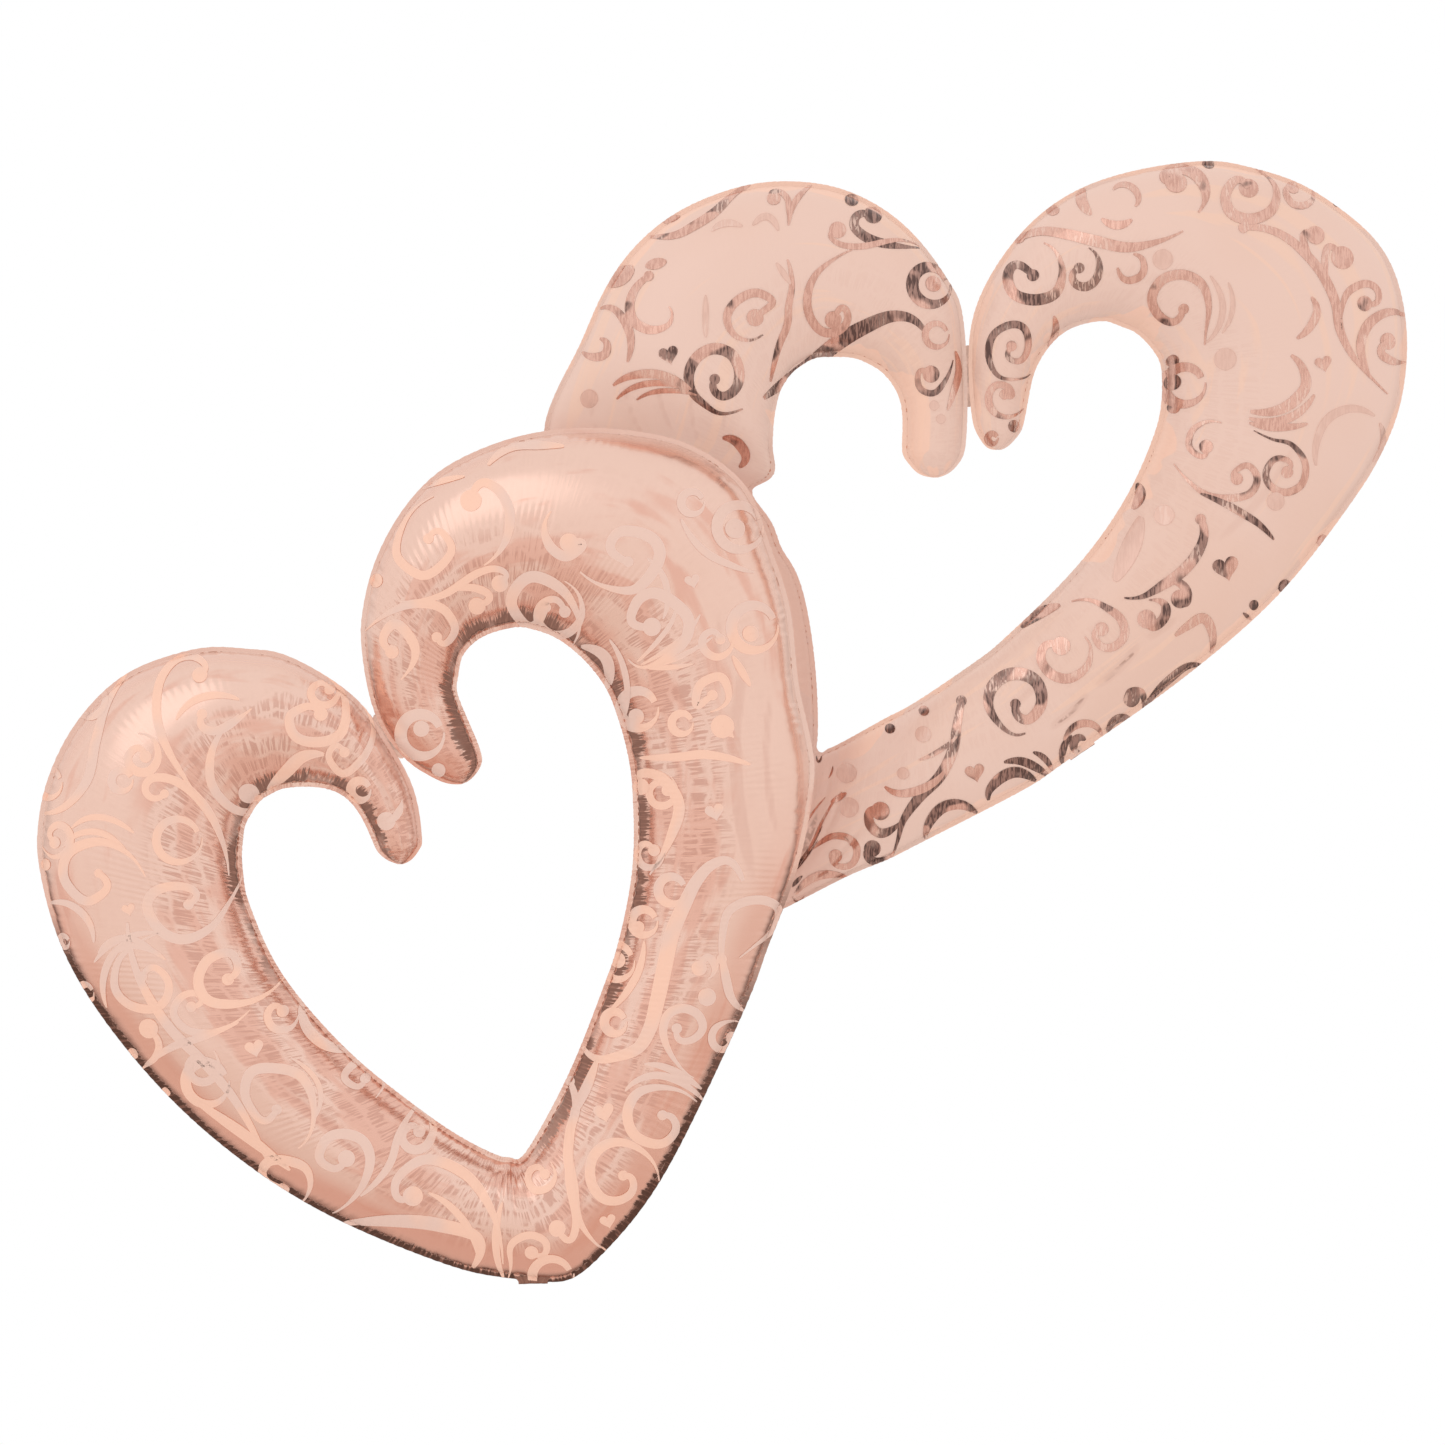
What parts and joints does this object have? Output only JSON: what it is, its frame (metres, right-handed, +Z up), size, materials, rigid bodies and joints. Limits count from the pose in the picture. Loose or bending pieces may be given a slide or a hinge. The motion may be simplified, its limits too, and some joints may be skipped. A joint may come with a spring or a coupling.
{
  "type": "foil balloon",
  "caption": "Foil balloon shaped as two linked open hearts, the rear one passing behind the front one, with folded inflation tails.",
  "frame": {"origin": "centre of the bounding box", "axes": "+X to the viewer's right, -Y towards the viewer, +Z up"},
  "size_m": [1.23, 0.1629, 1.0093],
  "materials": {
    "front_heart_front_film": "metallised film, rose gold, glossy, paler scroll print",
    "front_heart_rear_film": "metallised film, rose gold, plain",
    "front_notch_tab": "metallised film, sealed flat",
    "upper_join_pad": "adhesive foam",
    "lower_join_pad": "adhesive foam",
    "rear_heart_front_film": "metallised film under a satin pastel print, scrolls left bare",
    "rear_heart_rear_film": "metallised film, rose gold, plain",
    "rear_notch_tab": "metallised film, sealed flat",
    "front_tail_outer_film": "metallised film, rose gold, plain",
    "front_tail_valve_outer_ply": "clear film, heat printed",
    "front_tail_inner_film": "metallised film, rose gold, plain",
    "front_tail_valve_inner_ply": "clear film, heat printed",
    "rear_tail_outer_film": "metallised film, rose gold, plain",
    "rear_tail_valve_outer_ply": "clear film, heat printed",
    "rear_tail_inner_film": "metallised film, rose gold, plain",
    "rear_tail_valve_inner_ply": "clear film, heat printed"
  },
  "bodies": {
    "front_heart": {"front_heart_front_film": "front_heart_front_film", "front_heart_rear_film": "front_heart_rear_film", "front_notch_tab": "front_notch_tab", "upper_join_pad": "upper_join_pad", "lower_join_pad": "lower_join_pad"},
    "rear_heart": {"rear_heart_front_film": "rear_heart_front_film", "rear_heart_rear_film": "rear_heart_rear_film", "rear_notch_tab": "rear_notch_tab"},
    "front_tail": {"front_tail_outer_film": "front_tail_outer_film", "front_tail_valve_outer_ply": "front_tail_valve_outer_ply"},
    "front_tail_mouth": {"front_tail_inner_film": "front_tail_inner_film", "front_tail_valve_inner_ply": "front_tail_valve_inner_ply"},
    "rear_tail": {"rear_tail_outer_film": "rear_tail_outer_film", "rear_tail_valve_outer_ply": "rear_tail_valve_outer_ply"},
    "rear_tail_mouth": {"rear_tail_inner_film": "rear_tail_inner_film", "rear_tail_valve_inner_ply": "rear_tail_valve_inner_ply"}
  },
  "joints": [
    {"name": "heart_swing", "type": "hinge", "parent": "front_heart", "child": "rear_heart", "pos_m": [-0.03, 0.037, 0.108], "axis": [0.1794, 0, -0.9838], "range_deg": [-4, 4], "stiffness_Nm_per_rad": 0.5},
    {"name": "front_tail_fold", "type": "hinge", "parent": "front_heart", "child": "front_tail", "pos_m": [-0.17096, -0.024, -0.50514], "axis": [0.9998, 0, 0.02], "range_deg": [-105, 0], "stiffness_Nm_per_rad": 0.004},
    {"name": "front_tail_mouth_open", "type": "hinge", "parent": "front_tail", "child": "front_tail_mouth", "pos_m": [-0.17096, -0.024, -0.50514], "axis": [0.9998, 0, 0.02], "range_deg": [0, 5], "stiffness_Nm_per_rad": 0.002},
    {"name": "rear_tail_fold", "type": "hinge", "parent": "rear_heart", "child": "rear_tail", "pos_m": [0.32364, 0.01, -0.02842], "axis": [0.829, 0, 0.5593], "range_deg": [-105, 0], "stiffness_Nm_per_rad": 0.004},
    {"name": "rear_tail_mouth_open", "type": "hinge", "parent": "rear_tail", "child": "rear_tail_mouth", "pos_m": [0.32364, 0.01, -0.02842], "axis": [0.829, 0, 0.5593], "range_deg": [0, 5], "stiffness_Nm_per_rad": 0.002}
  ]
}
